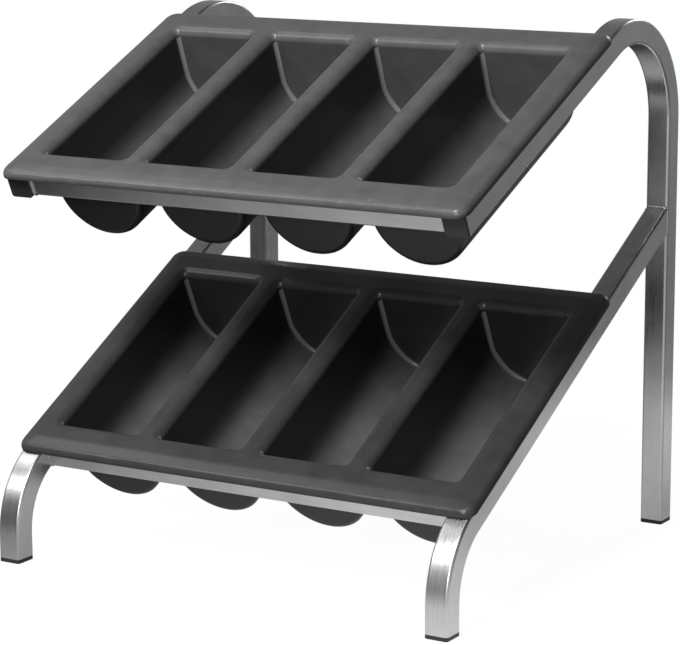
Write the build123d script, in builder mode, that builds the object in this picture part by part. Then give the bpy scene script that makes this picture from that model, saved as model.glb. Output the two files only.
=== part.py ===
from build123d import *
import math
import os

os.makedirs("parts", exist_ok=True)

# Two-tier cutlery stand: a welded frame of bent square tube carries two slanted trays, each one
# moulding with four troughs. X runs across the stand, +Y to its back and +Z up, and the origin
# is on the counter at the middle of the footprint. All sizes are in millimetres.

# Side frames
frame_width = 522.0            # over the outer faces of the side frames
frame_depth = 493.0            # front face of the front legs to back face of the rear legs
stand_height = 543.5           # counter to the top of the big rear bends
tube = 25.0
tube_wall = 1.5
tube_corner = 3.0
upper_slope = 24.3             # rise of the upper rails towards the back, degrees
lower_slope = 28.65            # rise of the lower rails, degrees
rear_bend_radius = 83.5        # inside of the bend that turns an upper rail into a rear leg
front_bend_radius = 70.0       # inside of the bend between a front leg and its lower rail
upper_rail_length = 339.5      # straight top face, from the open front end to the bend
front_corner_height = 85.61    # where a lower rail's top face would reach the leg's front face

# Crossbars, of the same square tube and level with the rails
upper_bar_recess = 2.5         # front face of the upper front bar behind the rails' open ends
lower_bar_reach = 479.2        # front face of the lower front bar to the rear leg, along the rail
rear_bar_gap = 3.0             # between a rear bar and the troughs' rear walls

# Plastic inserts in the open tube ends
cap_thickness = 3.0
foot_thickness = 4.3
insert_edge = 0.8              # rounding of the visible face
insert_core = 18.0
insert_core_wall = 1.6
insert_length = 17.0
fin_count = 3
fin_thickness = 1.2
fin_clearance = 0.05           # between a fin and the tube's bore, on each side

# Trays
tray_overhang = 4.25           # rim beyond the side frames, on each side
tray_length = 336.0
tray_wall = 2.2
rim_top = 10.3                 # top of the rim above the rails, where its lower edge rests
rim_crown = 16.0               # sloping part of the rim, in from its outer edge
rim_crown_drop = 3.3
rim_crown_round = 28.0
rim_roll = 7.4                 # outer rounding of the rim
rim_corner = 13.0              # rounding of the rim's corners seen from above
rim_inner_corner = 4.5
rim_end_band = 41.0            # rim from its outer edge to a trough, front and back
trough_count = 4
trough_ridge = 26.4            # between neighbouring troughs
trough_side_gap = 2.2          # between the outer troughs and the side frames
trough_depth = 96.3            # rim top to the inside of the trough's bottom
end_draft = 3.5                # lean of the trough's end walls, degrees
end_round = 4.5                # inside rounding between a trough's wall and its ends
mouth_round = 10.0             # rounding of the trough's mouth
rib_thickness = 2.0
side_rib_count = 5
side_rib_pitch = 62.0
upper_tray_gap = 2.5           # between the troughs' front walls and the bar that stops the tray
lower_tray_gap = 5.0

# Places that follow from the sizes
front_face = -frame_depth / 2
rear_leg_front = frame_depth / 2 - tube
side_middle = (frame_width - tube) / 2
inner_width = frame_width - 2 * tube
bore = tube - 2 * tube_wall
bore_corner = tube_corner - tube_wall
lower_rail_height = front_corner_height + (frame_depth - tube) * math.tan(math.radians(lower_slope))
tray_width = frame_width + 2 * tray_overhang
trough_row = inner_width - 2 * trough_side_gap - 2 * tray_wall
trough_width = (trough_row - (trough_count - 1) * trough_ridge) / trough_count
trough_pitch = trough_width + trough_ridge


def rail_directions(slope):
    """Unit vectors along a rail, towards the back, and square to its top face."""
    lean = math.radians(slope)
    return Vector(0, math.cos(lean), math.sin(lean)), Vector(0, -math.sin(lean), math.cos(lean))


def tier_seat(slope, y, z):
    """Plane on the top faces of a tier's rails: X across, Y up the slope, Z out of the tray."""
    along, up = rail_directions(slope)
    return Plane(origin=(0, y, z), x_dir=(1, 0, 0), z_dir=up)


bend_y = rear_leg_front - rear_bend_radius
bend_z = stand_height - tube - rear_bend_radius
upper_along, upper_up = rail_directions(upper_slope)
lower_along, lower_up = rail_directions(lower_slope)
upper_top = Vector(0, bend_y, bend_z) + upper_up * (rear_bend_radius + tube)
lower_top = Vector(0, rear_leg_front, lower_rail_height)
upper_seat = tier_seat(upper_slope, upper_top.Y, upper_top.Z)
lower_seat = tier_seat(lower_slope, lower_top.Y, lower_top.Z)


def meet_vertical(point, along, y):
    """Where a rail's centre line through point reaches the upright centre line at y."""
    run = (y - point.Y) / along.Y
    return (y, point.Z + along.Z * run)


def tube_section(centre, direction):
    """Hollow square section at the start of a tube."""
    with BuildSketch(Plane(origin=centre, x_dir=(1, 0, 0), z_dir=direction)) as section:
        RectangleRounded(tube, tube, tube_corner)
        RectangleRounded(bore, bore, bore_corner, mode=Mode.SUBTRACT)
    return section.sketch


def rear_side_tube(x):
    """Upper rail, big bend and rear leg in one tube."""
    end = upper_top - upper_along * upper_rail_length - upper_up * (tube / 2)
    leg_y = rear_leg_front + tube / 2
    with BuildPart() as side:
        with BuildLine(Plane.YZ.offset(x)):
            FilletPolyline(
                (end.Y, end.Z),
                meet_vertical(end, upper_along, leg_y),
                (leg_y, foot_thickness),
                radius=rear_bend_radius + tube / 2,
            )
        sweep(sections=tube_section((x, end.Y, end.Z), upper_along))
    return side.part


def front_side_tube(x):
    """Front leg, bend and lower rail in one tube, cut to butt against the rear leg."""
    joint = lower_top - lower_up * (tube / 2)
    past_joint = joint + lower_along * tube
    leg_y = front_face + tube / 2
    with BuildPart() as side:
        with BuildLine(Plane.YZ.offset(x)):
            FilletPolyline(
                (leg_y, foot_thickness),
                meet_vertical(joint, lower_along, leg_y),
                (past_joint.Y, past_joint.Z),
                radius=front_bend_radius + tube / 2,
            )
        sweep(sections=tube_section((x, leg_y, foot_thickness), (0, 0, 1)))
        split(bisect_by=Plane.XZ.offset(-rear_leg_front), keep=Keep.TOP)
    return side.part


def crossbar(seat, front):
    """Square tube between the side frames, front being the place of its front face."""
    end = seat.from_local_coords((-inner_width / 2, front + tube / 2, -tube / 2))
    with BuildPart() as bar:
        with BuildSketch(Plane(origin=end, x_dir=seat.y_dir, z_dir=(1, 0, 0))):
            RectangleRounded(tube, tube, tube_corner)
            RectangleRounded(bore, bore, bore_corner, mode=Mode.SUBTRACT)
        extrude(amount=inner_width)
    return bar.part


def tube_insert(end, thickness):
    """Square cap with a finned hollow stub, end being the tube's end plane facing outwards."""
    with BuildPart() as insert:
        with BuildSketch(end):
            RectangleRounded(tube, tube, tube_corner)
        extrude(amount=thickness)
        outer_face = insert.faces().filter_by(GeomType.PLANE).sort_by(
            lambda face: (face.center() - end.origin).dot(end.z_dir))[-1]
        fillet(outer_face.edges(), radius=insert_edge)
        with BuildSketch(end):
            RectangleRounded(insert_core, insert_core, bore_corner)
        extrude(amount=-insert_length)
        fin = bore - 2 * fin_clearance
        for number in range(fin_count):
            depth = insert_length * (number + 0.5) / fin_count
            with BuildSketch(end.offset(-depth)):
                RectangleRounded(fin, fin, bore_corner)
            extrude(amount=-fin_thickness)
        hollow = insert_core - 2 * insert_core_wall
        with BuildSketch(end):
            Rectangle(hollow, hollow)
        extrude(amount=-insert_length, mode=Mode.SUBTRACT)
    return insert.part


# Tray, laid flat with its plan centred on the origin and the rails' top faces at height 0

def trough_block(half_width, floor, half_length, rounding):
    """Solid of one trough: a U section with leaning, rounded ends, up to the rim's top."""
    lean = (rim_top - floor) * math.tan(math.radians(end_draft))
    round_centre = floor + half_width
    with BuildPart() as block:
        with BuildSketch(Plane.YZ):
            with BuildLine():
                Polyline(
                    (-half_length, rim_top),
                    (-half_length + lean, floor),
                    (half_length - lean, floor),
                    (half_length, rim_top),
                    close=True,
                )
            make_face()
        extrude(amount=half_width, both=True)
        with BuildSketch(Plane.XZ):
            with Locations((0, round_centre)):
                Circle(half_width)
            with Locations((0, (rim_top + round_centre) / 2)):
                Rectangle(2 * half_width, rim_top - round_centre)
        extrude(amount=half_length, both=True, mode=Mode.INTERSECT)
        end_faces = block.faces().sort_by(Axis.Y)
        end_edges = end_faces[0].edges() + end_faces[-1].edges()
        fillet(end_edges.filter_by(lambda edge: edge.center().Z < rim_top - rounding), radius=rounding)
    return block.part


def crowned_block(inset, height):
    """Rim outline, inset all round, whose top slopes down to its edge and rolls over into its side."""
    width, length = tray_width - 2 * inset, tray_length - 2 * inset
    crown = rim_crown - inset
    shoulder = height - rim_crown_drop
    with BuildPart() as block:
        with BuildSketch(Plane.XY):
            RectangleRounded(width, length, rim_corner - inset)
        extrude(amount=shoulder)
        with BuildSketch(Plane.XY.offset(shoulder)):
            RectangleRounded(width, length, rim_corner - inset)
        with BuildSketch(Plane.XY.offset(height)):
            RectangleRounded(width - 2 * crown, length - 2 * crown, rim_inner_corner)
        loft()
        fillet(block.faces().sort_by(Axis.Z)[-1].edges(), radius=rim_crown_round - inset)
        shoulder_ring = block.edges().filter_by_position(Axis.Z, shoulder, shoulder)
        fillet(shoulder_ring, radius=rim_roll - inset)
    return block.part


def tray_moulding():
    """Rolled rim, four troughs of even wall and the ribs under the rim."""
    half_mouth = tray_length / 2 - rim_end_band
    skin_top = rim_top - tray_wall
    well = trough_block(trough_width / 2, rim_top - trough_depth, half_mouth, end_round)
    belly = trough_block(
        trough_width / 2 + tray_wall,
        rim_top - trough_depth - tray_wall,
        half_mouth + tray_wall,
        end_round + tray_wall,
    )

    # Space under the rim, between the lip and the bellies
    with BuildPart() as underside:
        add(crowned_block(tray_wall, skin_top))
        with GridLocations(trough_pitch, 1, trough_count, 1):
            add(belly, mode=Mode.SUBTRACT)
        roof = underside.faces().sort_by(Axis.Z)[-1]
        for loop in roof.inner_wires():
            fillet(loop.edges(), radius=mouth_round - tray_wall)
        # Ribs that rest on the rails
        with GridLocations(0, side_rib_pitch, 1, side_rib_count):
            Box(
                tray_width, rib_thickness, skin_top,
                align=(Align.CENTER, Align.CENTER, Align.MIN), mode=Mode.SUBTRACT)
        with GridLocations(trough_pitch, 0, trough_count - 1, 1):
            Box(
                rib_thickness, tray_length, skin_top,
                align=(Align.CENTER, Align.CENTER, Align.MIN), mode=Mode.SUBTRACT)

    with BuildPart() as moulding:
        add(crowned_block(0, rim_top))
        with GridLocations(trough_pitch, 1, trough_count, 1):
            add(belly)
        add(underside.part, mode=Mode.SUBTRACT)
        with GridLocations(trough_pitch, 1, trough_count, 1):
            add(well, mode=Mode.SUBTRACT)
        mouths = moulding.faces().filter_by(Plane.XY).sort_by(Axis.Z)[-1].inner_wires()
        for mouth in mouths:
            fillet(mouth.edges(), radius=mouth_round)
    return moulding.part


# Each tray lies back from its front bar by a gap, measured where its troughs pass the rails' top
belly_lean = rim_top * math.tan(math.radians(end_draft))
belly_reach = tray_length / 2 - rim_end_band + tray_wall - belly_lean
upper_bar_front = upper_bar_recess - upper_rail_length
lower_bar_front = -lower_bar_reach
upper_tray_middle = upper_bar_front + tube + upper_tray_gap + belly_reach
lower_tray_middle = lower_bar_front + tube + lower_tray_gap + belly_reach

sides = {"left": -side_middle, "right": side_middle}
pieces = {}
for side_name, x in sides.items():
    pieces[side_name + "_rear_tube"] = rear_side_tube(x)
    pieces[side_name + "_front_tube"] = front_side_tube(x)

    cap_end = upper_top - upper_along * upper_rail_length - upper_up * (tube / 2)
    cap_plane = Plane(
        origin=(x, cap_end.Y, cap_end.Z), x_dir=(1, 0, 0), z_dir=upper_along * -1)
    pieces[side_name + "_end_cap"] = tube_insert(cap_plane, cap_thickness)

    legs = {"front": front_face + tube / 2, "rear": rear_leg_front + tube / 2}
    for leg_name, y in legs.items():
        foot_plane = Plane(origin=(x, y, foot_thickness), x_dir=(1, 0, 0), z_dir=(0, 0, -1))
        pieces[leg_name + "_" + side_name + "_foot"] = tube_insert(foot_plane, foot_thickness)

pieces["upper_front_bar"] = crossbar(upper_seat, upper_bar_front)
pieces["upper_rear_bar"] = crossbar(upper_seat, upper_tray_middle + belly_reach + rear_bar_gap)
pieces["lower_front_bar"] = crossbar(lower_seat, lower_bar_front)
pieces["lower_rear_bar"] = crossbar(lower_seat, lower_tray_middle + belly_reach + rear_bar_gap)

tray = tray_moulding()
trays = {
    "upper_tray": upper_seat.shift_origin(upper_seat.from_local_coords((0, upper_tray_middle, 0))),
    "lower_tray": lower_seat.shift_origin(lower_seat.from_local_coords((0, lower_tray_middle, 0))),
}
for name, seat in trays.items():
    with BuildPart(seat) as placed:
        add(tray)
    pieces[name] = placed.part

for name, piece in pieces.items():
    piece.label = name
    export_step(piece, "parts/" + name + ".step")
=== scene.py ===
import math
import bmesh
import bpy
from mathutils import Matrix, Vector
from mathutils.bvhtree import BVHTree


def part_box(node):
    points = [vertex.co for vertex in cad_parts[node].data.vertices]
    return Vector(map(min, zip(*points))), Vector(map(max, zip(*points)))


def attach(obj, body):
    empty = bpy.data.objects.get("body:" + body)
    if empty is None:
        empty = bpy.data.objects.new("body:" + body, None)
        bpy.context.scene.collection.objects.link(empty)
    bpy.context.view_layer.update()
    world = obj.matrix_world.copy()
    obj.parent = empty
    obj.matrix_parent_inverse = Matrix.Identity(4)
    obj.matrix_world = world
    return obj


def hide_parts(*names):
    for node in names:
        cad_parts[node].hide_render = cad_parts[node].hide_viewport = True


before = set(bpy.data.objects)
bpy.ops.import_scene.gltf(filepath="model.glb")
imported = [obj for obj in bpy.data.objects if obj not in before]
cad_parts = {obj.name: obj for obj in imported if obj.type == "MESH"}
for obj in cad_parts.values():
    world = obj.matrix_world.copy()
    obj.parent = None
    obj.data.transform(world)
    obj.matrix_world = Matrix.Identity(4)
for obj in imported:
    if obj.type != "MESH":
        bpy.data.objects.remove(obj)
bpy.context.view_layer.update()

# Looks of a two-tier cutlery stand: brushed steel tube, black inserts and satin black trays.
# Sizes are in metres and repeat the named sizes of the part's source.
TUBE = 0.025
TUBE_CORNER = 0.003
STAND_DEPTH = 0.493
STAND_WIDTH = 0.522
STAND_HEIGHT = 0.5435
UPPER_SLOPE = math.radians(24.3)
LOWER_SLOPE = math.radians(28.65)
REAR_BEND = 0.0835
FRONT_BEND = 0.070
UPPER_RAIL_LENGTH = 0.3395
LOWER_RAIL_HEIGHT = 0.3413
FOOT_THICKNESS = 0.0043
TROUGH_DEPTH = 0.0963

LEG_FRONT = STAND_DEPTH / 2 - TUBE
SIDE_X = (STAND_WIDTH - TUBE) / 2
INNER_WIDTH = STAND_WIDTH - 2 * TUBE
BARS = ("upper_front_bar", "upper_rear_bar", "lower_front_bar", "lower_rear_bar")
SHARP_EDGE = math.radians(35)


# Small helpers for node trees

def new_tree(kind, name, inputs, outputs):
    """An empty node group with its named sockets, and its two end nodes."""
    tree = bpy.data.node_groups.new(name, kind)
    for label, socket, default in inputs:
        made = tree.interface.new_socket(label, in_out="INPUT", socket_type=socket)
        if default is not None:
            made.default_value = default
    for label, socket in outputs:
        tree.interface.new_socket(label, in_out="OUTPUT", socket_type=socket)
    start = tree.nodes.new("NodeGroupInput")
    end = tree.nodes.new("NodeGroupOutput")
    return tree, start, end


def feed(tree, socket, source):
    """Gives a socket a plain value or an incoming link."""
    if isinstance(source, bpy.types.NodeSocket):
        tree.links.new(source, socket)
    else:
        socket.default_value = source


def add_node(tree, kind, values=None, links=None, **settings):
    """A node with its settings, plain socket values and incoming links."""
    node = tree.nodes.new(kind)
    for name, value in settings.items():
        setattr(node, name, value)
    for socket, value in (values or {}).items():
        node.inputs[socket].default_value = value
    for socket, source in (links or {}).items():
        tree.links.new(source, node.inputs[socket])
    return node


def maths(tree, operation, *terms):
    """A Math node of sockets and numbers, giving its result socket."""
    node = add_node(tree, "ShaderNodeMath", operation=operation)
    for place, term in enumerate(terms):
        feed(tree, node.inputs[place], term)
    return node.outputs[0]


def remap(tree, source, low, high, new_low, new_high):
    """A source value carried from one range to another, held at its ends."""
    node = add_node(tree, "ShaderNodeMapRange", {1: low, 2: high, 3: new_low, 4: new_high}, {0: source})
    return node.outputs[0]


def mixed_colour(tree, factor, low, high):
    """A colour between two, by a factor. Each colour is three numbers or a socket."""
    mix = add_node(tree, "ShaderNodeMix", links={0: factor}, data_type="RGBA")
    for place, colour in ((6, low), (7, high)):
        feed(tree, mix.inputs[place], (*colour, 1.0) if isinstance(colour, tuple) else colour)
    return mix.outputs[2]


def grey(level):
    """A neutral colour of one level."""
    return (level, level, level)


# Small helpers for pieces

def finish_piece(name, mesh, body, slot, *replaced):
    """Links a finished mesh as a piece of the object and ties it to its CAD body."""
    piece = bpy.data.objects.new(name, mesh)
    bpy.context.scene.collection.objects.link(piece)
    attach(piece, body)
    if replaced:
        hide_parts(*replaced)
    return piece


def keep_flats_flat(piece):
    """Shading normals weighted by face area, so flats stay flat beside their rounded edges."""
    weigh = piece.modifiers.new("Flat faces", "WEIGHTED_NORMAL")
    weigh.mode = "FACE_AREA"
    weigh.keep_sharp = True


# Finishes shared by several materials

STREAK_TONE = 1.1
STREAK_ROUGHNESS = 0.18
CLOUD_ROUGHNESS = 0.16
CLOUD_SCALE = 22.0


def brushed_grain_group():
    """Fine streaks along a tube, with slow clouding."""
    group, start, end = new_tree(
        "ShaderNodeTree", "Brushed grain",
        [("Vector", "NodeSocketVector", None), ("Streaks per metre", "NodeSocketFloat", 1400.0),
         ("Streak length", "NodeSocketFloat", 0.05), ("Clouding", "NodeSocketFloat", 1.0)],
        [("Tone", "NodeSocketFloat"), ("Roughness", "NodeSocketFloat"), ("Height", "NodeSocketFloat")])
    split = add_node(group, "ShaderNodeSeparateXYZ", links={0: start.outputs["Vector"]})
    along = maths(group, "DIVIDE", split.outputs[0], start.outputs["Streak length"])
    across = maths(group, "MULTIPLY", split.outputs[1], start.outputs["Streaks per metre"])
    upright = maths(group, "MULTIPLY", split.outputs[2], start.outputs["Streaks per metre"])
    stretched = add_node(group, "ShaderNodeCombineXYZ", links={0: along, 1: across, 2: upright})
    streaks = add_node(
        group, "ShaderNodeTexNoise", {"Scale": 1.0, "Detail": 3.0, "Roughness": 0.65},
        {"Vector": stretched.outputs[0]})
    clouds = add_node(
        group, "ShaderNodeTexNoise", {"Scale": CLOUD_SCALE, "Detail": 3.0, "Roughness": 0.5},
        {"Vector": start.outputs["Vector"]})
    fine = maths(group, "SUBTRACT", streaks.outputs["Fac"], 0.5)
    slow = maths(group, "SUBTRACT", clouds.outputs["Fac"], 0.5)
    cloud = maths(group, "MULTIPLY", slow, start.outputs["Clouding"])
    shade = maths(group, "ADD", maths(group, "MULTIPLY", fine, STREAK_TONE), cloud)
    roughness = maths(group, "ADD", maths(group, "MULTIPLY", fine, STREAK_ROUGHNESS),
                      maths(group, "MULTIPLY", cloud, CLOUD_ROUGHNESS))
    group.links.new(maths(group, "ADD", shade, 0.5), end.inputs["Tone"])
    group.links.new(roughness, end.inputs["Roughness"])
    group.links.new(streaks.outputs["Fac"], end.inputs["Height"])
    return group


MOTTLE_SCALE = 45.0
RUB_TURN = (0.4, 0.2, 0.7)
RUB_STRETCH = (60.0, 420.0, 60.0)
RUB_START = 0.60
RUB_FULL = 0.72
RUB_AREA_SCALE = 11.0
RUB_AREA_START = 0.50
RUB_AREA_FULL = 0.66


def moulded_skin_group():
    """Spark-eroded skin of moulded plastic: fine grain, faint mottling and rubbed scuffs."""
    group, start, end = new_tree(
        "ShaderNodeTree", "Moulded skin",
        [("Grain size", "NodeSocketFloat", 0.0009), ("Scuffing", "NodeSocketFloat", 0.3)],
        [("Mottle", "NodeSocketFloat"), ("Scuffs", "NodeSocketFloat"), ("Height", "NodeSocketFloat")])
    place = add_node(group, "ShaderNodeTexCoord").outputs["Object"]
    scale = maths(group, "DIVIDE", 1.0, start.outputs["Grain size"])
    grain = add_node(
        group, "ShaderNodeTexNoise", {"Detail": 2.0, "Roughness": 0.6}, {"Vector": place, "Scale": scale})
    mottle = add_node(
        group, "ShaderNodeTexNoise", {"Scale": MOTTLE_SCALE, "Detail": 4.0, "Roughness": 0.55},
        {"Vector": place})
    turned = add_node(
        group, "ShaderNodeMapping", {"Rotation": RUB_TURN, "Scale": RUB_STRETCH}, {"Vector": place})
    rubs = add_node(
        group, "ShaderNodeTexNoise", {"Scale": 1.0, "Detail": 5.0, "Roughness": 0.7},
        {"Vector": turned.outputs[0]})
    areas = add_node(
        group, "ShaderNodeTexNoise", {"Scale": RUB_AREA_SCALE, "Detail": 1.0}, {"Vector": place})
    rub_and_light = remap(group, rubs.outputs["Fac"], RUB_START, RUB_FULL, 0.0, 1.0)
    where = remap(group, areas.outputs["Fac"], RUB_AREA_START, RUB_AREA_FULL, 0.0, 1.0)
    scuffs = maths(group, "MULTIPLY", maths(group, "MULTIPLY", rub_and_light, where), start.outputs["Scuffing"])
    group.links.new(mottle.outputs["Fac"], end.inputs["Mottle"])
    group.links.new(scuffs, end.inputs["Scuffs"])
    group.links.new(grain.outputs["Fac"], end.inputs["Height"])
    return group


BRUSHED_GRAIN = brushed_grain_group()
MOULDED_SKIN = moulded_skin_group()


# Materials of the stand

STEEL_RELIEF = 0.0004
PLASTIC_RELIEF = 0.0002
PLASTIC_SHINE = 0.4
MOTTLE_ROUGHNESS = 0.12
SCUFF_ROUGHNESS = 0.25

# Painted shade: the near-black tone where a tray is hidden from above or turned away from the front light.
TRAY_PAINTED_SHADE = grey(0.016)
# Painted highlight: the grey laid in the troughs' rear inner corners.
TRAY_PAINTED_HIGHLIGHT = grey(0.26)
# Painted light from the front and above: its direction, and the facing over which it fades to painted
# shade.
PAINTED_LIGHT_FROM = (0.0, -0.6, 0.8)
PAINTED_LIGHT_START = 0.05
PAINTED_LIGHT_FULL = 0.5
LEAST_PAINTED_LIGHT = 0.2

# Painted light on each tray: scale of the plastic's tone on its rim and on its trough floors. The lower
# tray's rim is darkened as painted shade under the upper tray, and its trough floors lightened as painted
# light.
TRAY_PAINTED_TONES = {"upper_tray": (1.0, 1.0), "lower_tray": (0.50, 1.25)}


def new_material(name):
    """A material with its Principled shader, ready for nodes."""
    material = bpy.data.materials.new(name)
    material.use_nodes = True
    return material, material.node_tree, material.node_tree.nodes["Principled BSDF"]


def add_relief(tree, shader, height, strength, depth):
    """Lets a height stand out in the shading of a surface."""
    relief = add_node(tree, "ShaderNodeBump", {"Strength": strength, "Distance": depth}, {"Height": height})
    tree.links.new(relief.outputs["Normal"], shader.inputs["Normal"])


def steel_material(name, dark, bright, roughness, streaks, bump):
    """Brushed stainless steel whose grain follows the tube's own length."""
    material, tree, shader = new_material(name)
    shader.inputs["Metallic"].default_value = 1.0
    place = add_node(tree, "ShaderNodeAttribute", attribute_name="grain")
    grain = add_node(
        tree, "ShaderNodeGroup", node_tree=BRUSHED_GRAIN, links={"Vector": place.outputs["Vector"]},
        values={"Streaks per metre": streaks})
    tree.links.new(mixed_colour(tree, grain.outputs["Tone"], dark, bright), shader.inputs["Base Color"])
    tree.links.new(maths(tree, "ADD", grain.outputs["Roughness"], roughness), shader.inputs["Roughness"])
    add_relief(tree, shader, grain.outputs["Height"], bump, STEEL_RELIEF)
    return material


def plastic_material(name, dark, bright, roughness, grain_size, scuffing, bump):
    """Satin black moulded plastic."""
    material, tree, shader = new_material(name)
    shader.inputs["Specular IOR Level"].default_value = PLASTIC_SHINE
    skin = add_node(
        tree, "ShaderNodeGroup", node_tree=MOULDED_SKIN,
        values={"Grain size": grain_size, "Scuffing": scuffing})
    lifted = maths(tree, "ADD", skin.outputs["Mottle"], skin.outputs["Scuffs"])
    tree.links.new(mixed_colour(tree, lifted, dark, bright), shader.inputs["Base Color"])
    spread = maths(tree, "MULTIPLY_ADD", skin.outputs["Mottle"], MOTTLE_ROUGHNESS,
                   roughness - MOTTLE_ROUGHNESS / 2)
    rough = maths(tree, "MULTIPLY_ADD", skin.outputs["Scuffs"], SCUFF_ROUGHNESS, spread)
    tree.links.new(rough, shader.inputs["Roughness"])
    add_relief(tree, shader, skin.outputs["Height"], bump, PLASTIC_RELIEF)
    return material


def tray_material(body, rim_painted_tone, trough_painted_tone):
    """Tray plastic with painted light: its own grey where open to above and facing up and forward,
    near-black painted shade elsewhere, rim and trough floors scaled by painted tones, and a painted
    highlight in the troughs' rear corners.
    """
    material = plastic_material(
        "Satin black " + body, dark=grey(0.070), bright=grey(0.128), roughness=0.31,
        grain_size=0.0009, scuffing=1.1, bump=0.14)
    tree = material.node_tree
    colour = tree.nodes["Principled BSDF"].inputs["Base Color"]
    plain = colour.links[0].from_socket
    # Masks for painted light: faces open to above, up-facing trough floors, and the troughs' rear inner
    # corners.
    lit_from_above, inside, corner = (
        add_node(tree, "ShaderNodeAttribute", attribute_name=name).outputs["Fac"]
        for name in ("lit_from_above", "inside", "corner"))
    # Painted light: the lower tray's rim darker, as shade under the upper tray, and its trough floors
    # lighter; the upper tray keeps its plain tone.
    light_scale = remap(tree, inside, 0.0, 1.0, rim_painted_tone, trough_painted_tone)
    light_scaled = add_node(tree, "ShaderNodeVectorMath", links={0: plain, "Scale": light_scale}, operation="SCALE")
    place = add_node(tree, "ShaderNodeTexCoord")
    facing = add_node(
        tree, "ShaderNodeVectorMath", {1: PAINTED_LIGHT_FROM}, {0: place.outputs["Normal"]},
        operation="DOT_PRODUCT")
    # Painted shade: darkest where a face turns away from the front light or is hidden from above.
    rub_and_light = remap(tree, facing.outputs["Value"], PAINTED_LIGHT_START, PAINTED_LIGHT_FULL, LEAST_PAINTED_LIGHT, 1.0)
    key_lit = mixed_colour(tree, maths(tree, "MULTIPLY", lit_from_above, rub_and_light), TRAY_PAINTED_SHADE, light_scaled.outputs[0])
    # Painted highlight in the troughs' rear inner corners.
    highlighted = mixed_colour(tree, maths(tree, "MULTIPLY", lit_from_above, corner), key_lit, TRAY_PAINTED_HIGHLIGHT)
    tree.links.new(highlighted, colour)
    return material


STEEL = steel_material(
    "Brushed steel tube", dark=(0.46, 0.46, 0.455), bright=(0.72, 0.72, 0.715), roughness=0.30,
    streaks=1500.0, bump=0.12)
WELD = steel_material(
    "Weld bead steel", dark=(0.38, 0.38, 0.37), bright=(0.62, 0.61, 0.60), roughness=0.26,
    streaks=500.0, bump=0.3)
TRAYS = {body: tray_material(body, *light_tones) for body, light_tones in TRAY_PAINTED_TONES.items()}
INSERT = plastic_material(
    "Black insert", dark=grey(0.020), bright=grey(0.040), roughness=0.42, grain_size=0.0006,
    scuffing=0.6, bump=0.15)


# Trees that grow a tube or a weld bead along a line

BEND_STEPS = 40
CORNER_STEPS = 6
BEAD_TURN = 0.003
BEAD_TURN_STEPS = 5
BEAD_STEP = 0.0005
BEAD_SIDES = 12
BEAD_BASE = 0.9
BEAD_TAPER = 0.06
BEAD_TIP = 0.35
BEAD_DRIFT_SCALE = 170.0


def carried(tree, curve, *items):
    """A curve that carries values on its points. Gives the sockets of the curve and its values."""
    node = add_node(tree, "GeometryNodeCaptureAttribute", domain="POINT")
    for kind, label, source in items:
        node.capture_items.new(kind, label)
    tree.links.new(curve, node.inputs[0])
    for place, (kind, label, source) in enumerate(items, start=1):
        tree.links.new(source, node.inputs[place])
    return node.outputs


def rounded_line(tree, curve, radius, count):
    """A line of straights with each of its corners rounded."""
    bend = add_node(tree, "GeometryNodeFilletCurve", {"Count": count}, {"Curve": curve}, mode="POLY")
    feed(tree, bend.inputs["Radius"], radius)
    return bend.outputs[0]


def swept_with_grain(tree, links, grain):
    """Sweeps a section along a path and stores where each point lies in the brushed grain."""
    swept = add_node(tree, "GeometryNodeCurveToMesh", {"Fill Caps": True}, links)
    marked = add_node(
        tree, "GeometryNodeStoreNamedAttribute", {"Name": "grain"},
        {"Geometry": swept.outputs[0], "Value": grain}, data_type="FLOAT_VECTOR", domain="POINT")
    return marked.outputs[0]


def cut_back(tree, geometry, limit, direction):
    """Slides the points beyond a depth back along a direction until they lie at that depth."""
    point = add_node(tree, "GeometryNodeInputPosition")
    split = add_node(tree, "ShaderNodeSeparateXYZ", links={0: point.outputs[0]})
    beyond = maths(tree, "MAXIMUM", maths(tree, "SUBTRACT", split.outputs[1], limit), 0.0)
    back = add_node(
        tree, "ShaderNodeVectorMath", operation="SCALE",
        links={0: direction, "Scale": maths(tree, "MULTIPLY", beyond, -1.0)})
    cut = add_node(tree, "GeometryNodeSetPosition", links={"Geometry": geometry, "Offset": back.outputs[0]})
    return cut.outputs[0]


def finish_tree(tree, geometry, finish, end):
    """Ends a tree with its material and with its instances made real."""
    dressed = add_node(tree, "GeometryNodeSetMaterial", links={"Geometry": geometry, "Material": finish})
    whole = add_node(tree, "GeometryNodeRealizeInstances", links={0: dressed.outputs[0]})
    tree.links.new(whole.outputs[0], end.inputs[0])
    return tree


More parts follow.
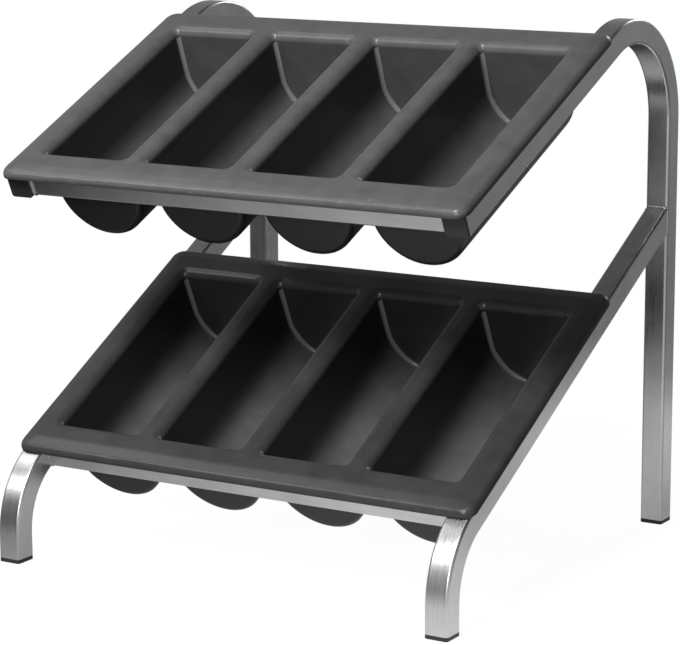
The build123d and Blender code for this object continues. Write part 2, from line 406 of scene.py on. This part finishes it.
def tube_tree():
    """Sweeps a square tube with rounded corners along a bent path, cut off at a depth."""
    tree, start, end = new_tree(
        "GeometryNodeTree", "Bent square tube",
        [("Path", "NodeSocketGeometry", None), ("Width", "NodeSocketFloat", TUBE),
         ("Corner", "NodeSocketFloat", TUBE_CORNER), ("Bend radius", "NodeSocketFloat", 0.09),
         ("Turn", "NodeSocketFloat", 0.0), ("Cut at", "NodeSocketFloat", 10.0),
         ("Cut along", "NodeSocketVector", (0.0, 1.0, 0.0)), ("Finish", "NodeSocketMaterial", None)],
        [("Tube", "NodeSocketGeometry")])
    line = add_node(tree, "GeometryNodeMeshToCurve", links={0: start.outputs["Path"]})
    bent = rounded_line(tree, line.outputs[0], start.outputs["Bend radius"], BEND_STEPS)
    turned = add_node(
        tree, "GeometryNodeSetCurveTilt", links={"Curve": bent, "Tilt": start.outputs["Turn"]})
    spot = add_node(tree, "GeometryNodeSplineParameter")
    path = carried(tree, turned.outputs[0], ("FLOAT", "Along", spot.outputs["Length"]))
    square = add_node(
        tree, "GeometryNodeCurvePrimitiveQuadrilateral", mode="RECTANGLE",
        links={0: start.outputs["Width"], 1: start.outputs["Width"]})
    rounded = rounded_line(tree, square.outputs[0], start.outputs["Corner"], CORNER_STEPS)
    place = add_node(tree, "GeometryNodeInputPosition")
    section = carried(tree, rounded, ("VECTOR", "Across", place.outputs[0]))
    spread = add_node(tree, "ShaderNodeSeparateXYZ", links={0: section[1]})
    grain = add_node(
        tree, "ShaderNodeCombineXYZ", links={0: path[1], 1: spread.outputs[0], 2: spread.outputs[1]})
    swept = swept_with_grain(tree, {"Curve": path[0], "Profile Curve": section[0]}, grain.outputs[0])
    cut = cut_back(tree, swept, start.outputs["Cut at"], start.outputs["Cut along"])
    angle = add_node(tree, "GeometryNodeInputMeshEdgeAngle")
    sharp = maths(tree, "GREATER_THAN", angle.outputs[0], SHARP_EDGE)
    shaded = add_node(
        tree, "GeometryNodeSetShadeSmooth", {"Shade Smooth": False}, {"Geometry": cut, "Selection": sharp},
        domain="EDGE")
    return finish_tree(tree, shaded.outputs[0], start.outputs["Finish"], end)


def bead_tree():
    """A weld bead: a rippled, slightly uneven round laid along a joint, thinner at its ends."""
    tree, start, end = new_tree(
        "GeometryNodeTree", "Weld bead",
        [("Path", "NodeSocketGeometry", None), ("Bead radius", "NodeSocketFloat", 0.0016),
         ("Ripple", "NodeSocketFloat", 0.0021), ("Ripple depth", "NodeSocketFloat", 0.16),
         ("Wander", "NodeSocketFloat", 0.22), ("Seed", "NodeSocketFloat", 0.0),
         ("Finish", "NodeSocketMaterial", None)],
        [("Bead", "NodeSocketGeometry")])
    line = add_node(tree, "GeometryNodeMeshToCurve", links={0: start.outputs["Path"]})
    rounded = rounded_line(tree, line.outputs[0], BEAD_TURN, BEAD_TURN_STEPS)
    steps = add_node(
        tree, "GeometryNodeResampleCurve", {"Length": BEAD_STEP}, {"Curve": rounded}, mode="LENGTH")
    spot = add_node(tree, "GeometryNodeSplineParameter")
    turns = maths(tree, "DIVIDE", spot.outputs["Length"], start.outputs["Ripple"])
    wave = maths(tree, "ABSOLUTE", maths(tree, "SINE", maths(tree, "MULTIPLY", turns, math.pi)))
    ripple = maths(tree, "MULTIPLY", wave, start.outputs["Ripple depth"])
    drift = add_node(
        tree, "ShaderNodeTexNoise", {"Scale": BEAD_DRIFT_SCALE, "Detail": 1.0},
        {"W": start.outputs["Seed"]}, noise_dimensions="4D")
    sway = maths(tree, "SUBTRACT", drift.outputs["Fac"], 0.5)
    uneven = maths(tree, "MULTIPLY", sway, start.outputs["Wander"])
    size = maths(tree, "ADD", maths(tree, "ADD", ripple, uneven), BEAD_BASE)
    taper_in = remap(tree, spot.outputs["Factor"], 0.0, BEAD_TAPER, BEAD_TIP, 1.0)
    taper_out = remap(tree, spot.outputs["Factor"], 1.0 - BEAD_TAPER, 1.0, 1.0, BEAD_TIP)
    tapered = maths(tree, "MULTIPLY", maths(tree, "MULTIPLY", size, taper_in), taper_out)
    path = carried(tree, steps.outputs[0], ("FLOAT", "Along", spot.outputs["Length"]),
                   ("FLOAT", "Size", tapered))
    section = add_node(
        tree, "GeometryNodeCurvePrimitiveCircle", {"Resolution": BEAD_SIDES},
        {"Radius": start.outputs["Bead radius"]}, mode="RADIUS")
    grain = add_node(tree, "ShaderNodeCombineXYZ", links={0: path[1]})
    swept = swept_with_grain(
        tree, {"Curve": path[0], "Profile Curve": section.outputs[0], "Scale": path[2]},
        grain.outputs[0])
    smooth = add_node(tree, "GeometryNodeSetShadeSmooth", links={0: swept})
    return finish_tree(tree, smooth.outputs[0], start.outputs["Finish"], end)


TUBE_TREE = tube_tree()
BEAD_TREE = bead_tree()


def grown_mesh(name, tree, points, sizes):
    """The plain mesh that a geometry tree makes from one line of points and its named sizes."""
    line = bpy.data.meshes.new(name + "_path")
    line.from_pydata(points, [(n, n + 1) for n in range(len(points) - 1)], [])
    holder = bpy.data.objects.new(name + "_path", line)
    bpy.context.scene.collection.objects.link(holder)
    grow = holder.modifiers.new("Grow", "NODES")
    grow.node_group = tree
    for item in tree.interface.items_tree:
        if item.item_type == "SOCKET" and item.in_out == "INPUT" and item.name in sizes:
            grow[item.identifier] = sizes[item.name]
    ready = holder.evaluated_get(bpy.context.evaluated_depsgraph_get())
    mesh = bpy.data.meshes.new_from_object(ready)
    mesh.name = name
    bpy.data.objects.remove(holder)
    bpy.data.meshes.remove(line)
    return mesh


# Frame: two bent square tubes on each side, and the crossbars between them

def along_and_up(slope):
    """Unit vectors up a rail and square to its top face."""
    return Vector((0, math.cos(slope), math.sin(slope))), Vector((0, -math.sin(slope), math.cos(slope)))


def meet_vertical(point, along, y):
    """Where a rail's centre line through point reaches the upright centre line at y."""
    return Vector((point.x, y, point.z + along.z * (y - point.y) / along.y))


upper_along, upper_up = along_and_up(UPPER_SLOPE)
lower_along, lower_up = along_and_up(LOWER_SLOPE)
bend_middle = Vector((0, LEG_FRONT - REAR_BEND, STAND_HEIGHT - TUBE - REAR_BEND))
upper_top = bend_middle + upper_up * (REAR_BEND + TUBE)
lower_top = Vector((0, LEG_FRONT, LOWER_RAIL_HEIGHT))


def brushed_tube(name, slot, points, sizes):
    """A brushed steel tube along its centre line, in place of a CAD tube."""
    mesh = grown_mesh(name + "_swept", TUBE_TREE, points, {**sizes, "Finish": STEEL})
    keep_flats_flat(finish_piece(name + "_brushed", mesh, "frame", slot, name))


def side_frame(side, x):
    """The two bent tubes of one side: upper rail with rear leg, and front leg with lower rail."""
    across = Vector((x, 0, 0))
    mouth = upper_top - upper_along * UPPER_RAIL_LENGTH - upper_up * (TUBE / 2) + across
    leg_y = LEG_FRONT + TUBE / 2
    brushed_tube(
        side + "_rear_tube", "tube_steel",
        [mouth, meet_vertical(mouth, upper_along, leg_y), Vector((x, leg_y, FOOT_THICKNESS))],
        {"Bend radius": REAR_BEND + TUBE / 2})
    joint = lower_top - lower_up * (TUBE / 2) + across
    front_y = TUBE / 2 - STAND_DEPTH / 2
    corner = meet_vertical(joint, lower_along, front_y)
    brushed_tube(
        side + "_front_tube", "tube_steel",
        [Vector((x, front_y, FOOT_THICKNESS)), corner, joint + lower_along * TUBE],
        {"Bend radius": FRONT_BEND + TUBE / 2, "Cut at": LEG_FRONT,
         "Cut along": lower_along / lower_along.y})


def bar_slope(name):
    """Slope of the rails that a crossbar joins."""
    return UPPER_SLOPE if name.startswith("upper") else LOWER_SLOPE


def bar_middle(name):
    """Middle of a crossbar, from its CAD solid."""
    low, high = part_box(name)
    return (Vector(low) + Vector(high)) / 2


side_frame("left", -SIDE_X)
side_frame("right", SIDE_X)

bar_middles = {name: bar_middle(name) for name in BARS}
half_bar = Vector((INNER_WIDTH / 2, 0, 0))
for name, middle in bar_middles.items():
    brushed_tube(name, "bar_steel", [middle - half_bar, middle + half_bar], {"Turn": bar_slope(name)})


# Weld beads at the joints

BAR_BEAD = 0.0013
RAIL_TOP_BEAD = 0.0019
RAIL_FOOT_BEAD = 0.0015
RAIL_SIDE_BEAD = 0.0011
BEAD_INSET = 0.0012
BEAD_SHORT = 0.002
BAR_BEAD_END = 0.88
BAR_SEED_STEP = 10.0
FAR_END_SEED = 5.0
LEFT_RAIL_SEED = 51.0
RIGHT_RAIL_SEED = 57.0


def weld(name, points, radius, seed):
    """A weld bead along a joint, its points in order."""
    mesh = grown_mesh(name + "_bead", BEAD_TREE, points,
                      {"Bead radius": radius, "Seed": seed, "Finish": WELD})
    finish_piece(name, mesh, "frame", "tube_steel")


def bar_weld(name, side, x, seed):
    """Bead round the front, bottom and back of a crossbar where it meets a side frame."""
    along, up = along_and_up(bar_slope(name))
    middle = Vector((x, bar_middles[name].y, bar_middles[name].z))
    corners = [(-1, BAR_BEAD_END), (-1, -1), (1, -1), (1, BAR_BEAD_END)]
    points = [middle + along * (TUBE / 2 * a) + up * (TUBE / 2 * u) for a, u in corners]
    weld(side + "_" + name + "_weld", points, BAR_BEAD, seed)


def rail_welds(side, x, seed):
    """Beads round the four sides of the joint between a lower rail and its rear leg."""
    top = Vector((x, LEG_FRONT, LOWER_RAIL_HEIGHT))
    foot = top - Vector((0, 0, TUBE / math.cos(LOWER_SLOPE)))
    half = Vector((TUBE / 2 - BEAD_INSET, 0, 0))
    weld(side + "_rail_top_weld", [top - half, top + half], RAIL_TOP_BEAD, seed)
    weld(side + "_rail_foot_weld", [foot - half, foot + half], RAIL_FOOT_BEAD, seed + 1)
    short = Vector((0, 0, BEAD_SHORT))
    outward = Vector((math.copysign(TUBE / 2, x), 0, 0))
    for edge, out in (("inner", -outward), ("outer", outward)):
        points = [top + out - short, foot + out + short]
        weld(side + "_rail_" + edge + "_weld", points, RAIL_SIDE_BEAD, seed + 2)


for count, name in enumerate(BARS):
    bar_weld(name, "left", -INNER_WIDTH / 2, BAR_SEED_STEP * count)
    bar_weld(name, "right", INNER_WIDTH / 2, BAR_SEED_STEP * count + FAR_END_SEED)
rail_welds("left", -SIDE_X, LEFT_RAIL_SEED)
rail_welds("right", SIDE_X, RIGHT_RAIL_SEED)


# Trays: the moulding's own surface, joined up and shaded as one skin

MERGE_GAP = 0.00001
SKIN_CLEARANCE = 0.0005
RAY_REACH = 1.0
CORNER_DEPTH = 0.018
HIGHLIGHT_FADE = 0.6
SIDE_WALL = 0.1
END_WALL = 0.97
INSIDE_START = 0.2
INSIDE_SPAN = 0.5


def mark_painted_light(shape, along, up):
    """Marks where a tray is open to above, its up-facing trough floors and the inside corners at the
    troughs' rear ends, as masks for painted shade, painted tones and a painted highlight.
    """
    tree = BVHTree.FromBMesh(shape)
    top = max(vertex.co.dot(up) for vertex in shape.verts)
    reaches = [vertex.co.dot(along) for vertex in shape.verts]
    half_way = (min(reaches) + max(reaches)) / 2
    lit_from_above = shape.faces.layers.float.new("lit_from_above")
    corner = shape.faces.layers.float.new("corner")
    inside = shape.verts.layers.float.new("inside")
    # Up-facing trough floors, for the painted tones.
    for vertex in shape.verts:
        if vertex.co.dot(up) < top - CORNER_DEPTH:
            lift = (vertex.normal.dot(up) - INSIDE_START) / INSIDE_SPAN
            vertex[inside] = min(max(lift, 0.0), 1.0)
    for face in shape.faces:
        middle = face.calc_center_median()
        start = middle + face.normal * SKIN_CLEARANCE + up * SKIN_CLEARANCE
        # Painted shade falls on faces whose way straight up is blocked.
        face[lit_from_above] = 1.0 if tree.ray_cast(start, up, RAY_REACH)[0] is None else 0.0
        # Painted highlight on the rear inner corners below the rim, fading with depth.
        turned = SIDE_WALL < abs(face.normal.dot(along)) < END_WALL
        at_rear = middle.dot(along) > half_way
        depth = top - middle.dot(up)
        if turned and at_rear and depth > CORNER_DEPTH:
            face[corner] = 1.0 - HIGHLIGHT_FADE * depth / TROUGH_DEPTH


def tray_piece(name, along, up):
    """A smooth-shaded piece from a copy of a tray's mesh. Its node and body share one name."""
    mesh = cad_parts[name].data.copy()
    mesh.name = name + "_skin"
    shape = bmesh.new()
    shape.from_mesh(mesh)
    bmesh.ops.remove_doubles(shape, verts=shape.verts, dist=MERGE_GAP)
    for face in shape.faces:
        face.smooth = True
        face.material_index = 0
    for edge in shape.edges:
        edge.smooth = edge.calc_face_angle(0.0) < SHARP_EDGE
    mark_painted_light(shape, along, up)
    shape.to_mesh(mesh)
    shape.free()
    mesh.materials.clear()
    mesh.materials.append(TRAYS[name])
    keep_flats_flat(finish_piece(name + "_satin", mesh, name, "tray_plastic", name))


tray_piece("upper_tray", upper_along, upper_up)
tray_piece("lower_tray", lower_along, lower_up)


# Caps and feet keep their CAD shape and get the insert's plastic

for name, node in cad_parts.items():
    if name.endswith(("_cap", "_foot")):
        node.data.materials.clear()
        node.data.materials.append(INSERT)


# Stage: white floor, white surroundings, soft boxes and the camera

FLOOR_RADIUS = 0.95
FLOOR_SEGMENTS = 96
FLOOR_SHADE = 0.10
FLOOR_GLOW = 0.965
FLOOR_PAINTED_BOUNCE = 0.12
WORLD_FILL = 0.015

# Middle, reach and level of each pool of painted light on the floor, a glow seen only in reflections and
# bounce light
FLOOR_PAINTED_PATCHES = [((0.30, -0.25), 0.95, 1.0), ((0.55, 0.65), 0.45, 1.0)]

# Direction, sharpness and level of each lit side of the studio
STUDIO_PATCHES = [
    ((0.2, -1.0, 0.1), 6.0, 0.6), ((0.0, 1.0, 0.1), 6.0, 0.28), ((0.9, -0.45, 0.1), 6.0, 0.6),
    ((0.55, 0.83, 0.1), 6.0, 0.18), ((-0.7, 0.7, 0.15), 6.0, 0.16), ((-0.51, 0.38, 0.77), 10.0, 0.10),
    ((-1.0, 0.0, 0.15), 6.0, 0.35)]

STAND_MIDDLE = (0.0, 0.0, 0.3)
STAND_FOOT = (0.0, 0.0, 0.2)

# Name, place, aim, side and level of each square soft box
SOFT_BOXES = [
    ("key", (-0.05, -2.00, 2.10), STAND_MIDDLE, 0.7, 37.0),
    ("overhead", (0.0, -0.92, 2.84), STAND_MIDDLE, 0.9, 2.0),
    ("left", (-1.63, -0.59, 2.37), STAND_MIDDLE, 0.9, 3.0),
    ("front left", (-1.45, -1.80, 1.70), STAND_MIDDLE, 0.6, 10.0),
    ("low front", (0.4, -2.6, 1.05), STAND_FOOT, 0.5, 24.0),
    ("back", (0.2, 2.4, 1.6), STAND_MIDDLE, 0.8, 6.0),
    ("right", (1.54, -1.29, 1.80), STAND_MIDDLE, 0.4, 4.0)]

CAMERA_PLACE = (1.4016, -2.3011, 0.7672)
CAMERA_YAW = math.radians(31.415)
CAMERA_PITCH = math.radians(11.238)
CAMERA_ROLL = math.radians(-0.203)
CAMERA_LENS = 141.26
CAMERA_SENSOR = 36.0


def patch_sum(tree, patches, measure):
    """Adds up soft patches of light, each measured from its own middle."""
    total = None
    for middle, reach, level in patches:
        lit = maths(tree, "MULTIPLY", measure(middle, reach), level)
        total = lit if total is None else maths(tree, "ADD", total, lit)
    return total


def seen_directly(tree, ray):
    """One where the camera looks straight or through glass, otherwise nought."""
    return maths(tree, "MAXIMUM", ray.outputs["Is Camera Ray"], ray.outputs["Is Transmission Ray"])


def floor_material():
    """White for the camera, with painted pools of light that glow in reflections and bounce light; it keeps
    the shadow.
    """
    material, tree, shader = new_material("White floor")
    tree.nodes.remove(shader)
    ray = add_node(tree, "ShaderNodeLightPath")
    seen = seen_directly(tree, ray)
    place = add_node(tree, "ShaderNodeTexCoord")

    def nearness(middle, reach):
        gap = add_node(
            tree, "ShaderNodeVectorMath", {1: (*middle, 0.0)}, {0: place.outputs["Object"]},
            operation="DISTANCE")
        return remap(tree, gap.outputs["Value"], 0.0, reach, 1.0, 0.0)

    # Painted light: the floor glows in pools for reflections and bounce light, and not elsewhere.
    painted_bounce = maths(tree, "MULTIPLY", ray.outputs["Is Diffuse Ray"], FLOOR_PAINTED_BOUNCE)
    painted_pools = maths(tree, "MULTIPLY", maths(tree, "ADD", ray.outputs["Is Glossy Ray"], painted_bounce),
                     patch_sum(tree, FLOOR_PAINTED_PATCHES, nearness))
    level = maths(tree, "MAXIMUM", maths(tree, "MULTIPLY", seen, FLOOR_GLOW), painted_pools)
    paper = mixed_colour(tree, seen, grey(0.0), grey(FLOOR_SHADE))
    lit = add_node(tree, "ShaderNodeBsdfDiffuse", links={"Color": paper})
    glow = add_node(tree, "ShaderNodeEmission", links={"Strength": level})
    both = add_node(tree, "ShaderNodeAddShader", links={0: lit.outputs[0], 1: glow.outputs[0]})
    tree.links.new(both.outputs[0], tree.nodes["Material Output"].inputs["Surface"])
    return material


def white_surroundings():
    """World that is white to look at, with the studio's soft bright sides in reflections."""
    world = bpy.data.worlds.new("Studio")
    world.use_nodes = True
    tree = world.node_tree
    ray = add_node(tree, "ShaderNodeLightPath")
    place = add_node(tree, "ShaderNodeTexCoord")

    def facing(middle, sharpness):
        side = add_node(
            tree, "ShaderNodeVectorMath", {1: Vector(middle).normalized()},
            {0: place.outputs["Generated"]}, operation="DOT_PRODUCT")
        return maths(tree, "POWER", maths(tree, "MAXIMUM", side.outputs["Value"], 0.0), sharpness)

    shown = maths(tree, "MULTIPLY", ray.outputs["Is Glossy Ray"], patch_sum(tree, STUDIO_PATCHES, facing))
    fill = maths(tree, "MULTIPLY", ray.outputs["Is Diffuse Ray"], WORLD_FILL)
    level = maths(tree, "ADD", maths(tree, "MAXIMUM", seen_directly(tree, ray), shown), fill)
    background = tree.nodes["Background"]
    background.inputs["Color"].default_value = (1.0, 1.0, 1.0, 1.0)
    tree.links.new(level, background.inputs["Strength"])
    bpy.context.scene.world = world


def soft_box(name, place, target, side, level):
    """A square area lamp of a plain radiance, aimed at a point."""
    lamp = bpy.data.lights.new(name, "AREA")
    lamp.size = side
    lamp.energy = level * math.pi * side * side
    holder = bpy.data.objects.new(name, lamp)
    holder.location = place
    holder.rotation_euler = (Vector(target) - Vector(place)).to_track_quat("-Z", "Y").to_euler()
    bpy.context.scene.collection.objects.link(holder)


def stage_floor():
    """Round floor of white paper under the stand."""
    mesh = bpy.data.meshes.new("floor")
    shape = bmesh.new()
    bmesh.ops.create_circle(shape, cap_ends=True, radius=FLOOR_RADIUS, segments=FLOOR_SEGMENTS)
    shape.to_mesh(mesh)
    shape.free()
    mesh.materials.append(floor_material())
    floor = bpy.data.objects.new("floor", mesh)
    bpy.context.scene.collection.objects.link(floor)


def photograph_camera():
    """Camera at the photograph's place, aim and lens."""
    level = Vector((math.cos(CAMERA_YAW), math.sin(CAMERA_YAW), 0.0))
    ahead = Vector((-math.sin(CAMERA_YAW), math.cos(CAMERA_YAW), 0.0))
    forward = ahead * math.cos(CAMERA_PITCH) - Vector((0.0, 0.0, math.sin(CAMERA_PITCH)))
    upright = level.cross(forward)
    right = level * math.cos(CAMERA_ROLL) + upright * math.sin(CAMERA_ROLL)
    up = upright * math.cos(CAMERA_ROLL) - level * math.sin(CAMERA_ROLL)
    lens = bpy.data.cameras.new("Photograph view")
    lens.lens = CAMERA_LENS
    lens.sensor_width = CAMERA_SENSOR
    camera = bpy.data.objects.new("Photograph view", lens)
    turn = Matrix((right, up, -forward)).transposed().to_4x4()
    camera.matrix_world = Matrix.Translation(CAMERA_PLACE) @ turn
    bpy.context.scene.collection.objects.link(camera)
    bpy.context.scene.camera = camera


white_surroundings()
stage_floor()
for name, place, target, side, level in SOFT_BOXES:
    soft_box(name + " softbox", place, target, side, level)
photograph_camera()

bpy.context.scene.view_settings.view_transform = "Standard"
